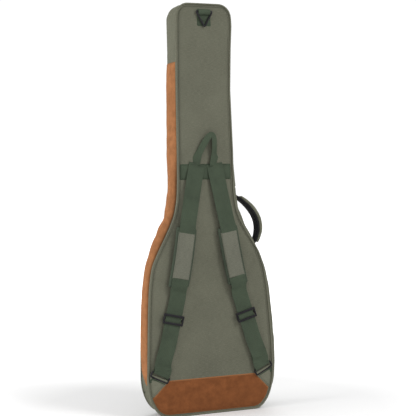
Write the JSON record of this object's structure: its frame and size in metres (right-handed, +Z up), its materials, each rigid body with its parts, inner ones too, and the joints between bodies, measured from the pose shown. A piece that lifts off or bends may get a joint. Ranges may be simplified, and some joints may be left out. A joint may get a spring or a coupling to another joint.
{
  "type": "padded gig bag",
  "caption": "Padded bag for a long-necked electric instrument: back shell, side-hinged zipped lid, rucksack straps with pads, side handle, hanging loop and ring, front pocket.",
  "frame": {"origin": "centre of the bounding box on the floor, the bag standing on its foot", "axes": "+Z up along the bag, -Y out of the back panel with the straps, +Y out of the zipped front, +X towards the side handle"},
  "size_m": [0.4127, 0.129, 1.2616],
  "materials": {
    "olive_fabric": "heavy plain-weave nylon, matt",
    "green_webbing": "ribbed nylon webbing, matt",
    "tan_suede": "suede, matt",
    "brown_suede": "suede, matt",
    "black_plastic": "moulded acetal, satin",
    "black_foam": "closed-cell foam under knitted cloth"
  },
  "bodies": {
    "shell": {"back_panel": "olive_fabric", "back_piping": "olive_fabric", "gusset_neck": "olive_fabric", "gusset_left": "olive_fabric", "gusset_right": "olive_fabric", "gusset_bottom": "olive_fabric", "side_wear_strip": "tan_suede", "bottom_patch": "brown_suede", "corner_patch_left": "olive_fabric", "corner_patch_right": "olive_fabric", "ring_tab_left": "green_webbing", "ring_tab_right": "green_webbing", "strap_yoke": "green_webbing", "v_ring_patch": "green_webbing", "v_ring_keeper": "green_webbing", "zip_tape_shell": "green_webbing", "zip_teeth_shell": "black_plastic", "handle_anchor_top": "green_webbing", "handle_anchor_foot": "green_webbing", "neck_cradle": "green_webbing", "end_pad": "black_foam"},
    "lid": {"front_panel": "olive_fabric", "front_piping": "olive_fabric", "zip_tape_lid": "green_webbing", "zip_teeth_lid": "black_plastic", "lid_fold": "olive_fabric", "pocket_gusset": "olive_fabric", "pocket_panel": "olive_fabric", "pocket_zip_tape": "green_webbing", "pocket_zip_teeth": "black_plastic"},
    "v_ring": {"v_ring": "black_plastic"},
    "hanging_loop": {"hanging_loop": "green_webbing"},
    "side_handle": {"handle_core": "black_foam", "handle_cover": "olive_fabric"},
    "strap_left": {"strap_upper_left": "green_webbing", "shoulder_pad_left": "green_webbing", "pad_sleeve_left": "olive_fabric", "strap_lower_left": "green_webbing"},
    "adjuster_left": {"adjuster_left": "black_plastic"},
    "strap_ring_left": {"strap_ring_left": "black_plastic"},
    "strap_right": {"strap_upper_right": "green_webbing", "shoulder_pad_right": "green_webbing", "pad_sleeve_right": "olive_fabric", "strap_lower_right": "green_webbing"},
    "adjuster_right": {"adjuster_right": "black_plastic"},
    "strap_ring_right": {"strap_ring_right": "black_plastic"},
    "zip_slider_upper": {"zip_slider_upper": "black_plastic"},
    "zip_slider_upper_pull": {"zip_slider_upper_pull": "black_plastic"},
    "zip_slider_lower": {"zip_slider_lower": "black_plastic"},
    "zip_slider_lower_pull": {"zip_slider_lower_pull": "black_plastic"},
    "pocket_slider": {"pocket_slider": "black_plastic"},
    "pocket_slider_pull": {"pocket_slider_pull": "black_plastic"},
    "neck_strap": {"neck_strap": "black_foam"}
  },
  "joints": [
    {"name": "lid_hinge", "type": "hinge", "parent": "shell", "child": "lid", "pos_m": [0.2022, 0.0291, 0.2458], "axis": [0, 0, -1], "range_deg": [0, 120]},
    {"name": "v_ring_hinge", "type": "hinge", "parent": "shell", "child": "v_ring", "pos_m": [0, -0.0515, 1.2358], "axis": [-1, 0, 0], "range_deg": [0, 85]},
    {"name": "hanging_loop_hinge", "type": "hinge", "parent": "shell", "child": "hanging_loop", "pos_m": [0, -0.0473, 0.7713], "axis": [1, 0, 0], "range_deg": [0, 80]},
    {"name": "side_handle_hinge", "type": "hinge", "parent": "shell", "child": "side_handle", "pos_m": [0.1355, 0, 0.5908], "axis": [-0.3394, 0, 0.9407], "range_deg": [-10, 10]},
    {"name": "strap_left_hinge", "type": "hinge", "parent": "shell", "child": "strap_left", "pos_m": [-0.0285, -0.05, 0.7678], "axis": [-1, 0, 0], "range_deg": [0, 30]},
    {"name": "adjuster_left_slide", "type": "slide", "parent": "strap_left", "child": "adjuster_left", "axis": [-0.2566, 0, -0.9665], "range_m": [-0.05, 0.05]},
    {"name": "strap_ring_left_hinge", "type": "hinge", "parent": "shell", "child": "strap_ring_left", "pos_m": [-0.17286, -0.0518, 0.11973], "axis": [0.891, 0, -0.454], "range_deg": [0, 90]},
    {"name": "strap_right_hinge", "type": "hinge", "parent": "shell", "child": "strap_right", "pos_m": [0.0285, -0.05, 0.7678], "axis": [-1, 0, 0], "range_deg": [0, 30]},
    {"name": "adjuster_right_slide", "type": "slide", "parent": "strap_right", "child": "adjuster_right", "axis": [0.2566, 0, -0.9665], "range_m": [-0.05, 0.05]},
    {"name": "strap_ring_right_hinge", "type": "hinge", "parent": "shell", "child": "strap_ring_right", "pos_m": [0.17286, -0.0518, 0.11973], "axis": [0.891, 0, 0.454], "range_deg": [0, 90]},
    {"name": "zip_slider_upper_slide", "type": "slide", "parent": "shell", "child": "zip_slider_upper", "axis": [0, 0, 1], "range_m": [0, 0.38]},
    {"name": "zip_slider_lower_slide", "type": "slide", "parent": "shell", "child": "zip_slider_lower", "axis": [0, 0, -1], "range_m": [0, 0.045]},
    {"name": "pocket_slider_slide", "type": "slide", "parent": "lid", "child": "pocket_slider", "axis": [1, 0, 0], "range_m": [0, 0.19]},
    {"name": "zip_slider_upper_pull_hinge", "type": "hinge", "parent": "zip_slider_upper", "child": "zip_slider_upper_pull", "pos_m": [0.0907, 0.0331, 0.8174], "axis": [0, -1, 0], "range_deg": [0, 85]},
    {"name": "zip_slider_lower_pull_hinge", "type": "hinge", "parent": "zip_slider_lower", "child": "zip_slider_lower_pull", "pos_m": [0.0916, 0.0331, 0.7734], "axis": [0, -1, 0], "range_deg": [0, 85]},
    {"name": "pocket_slider_pull_hinge", "type": "hinge", "parent": "pocket_slider", "child": "pocket_slider_pull", "pos_m": [-0.0946, 0.054, 0.3729], "axis": [0, -1, 0], "range_deg": [0, 85]},
    {"name": "neck_strap_hinge", "type": "hinge", "parent": "shell", "child": "neck_strap", "pos_m": [-0.0655, -0.0138, 1.0208], "axis": [0, 0, 1], "range_deg": [0, 18]}
  ]
}
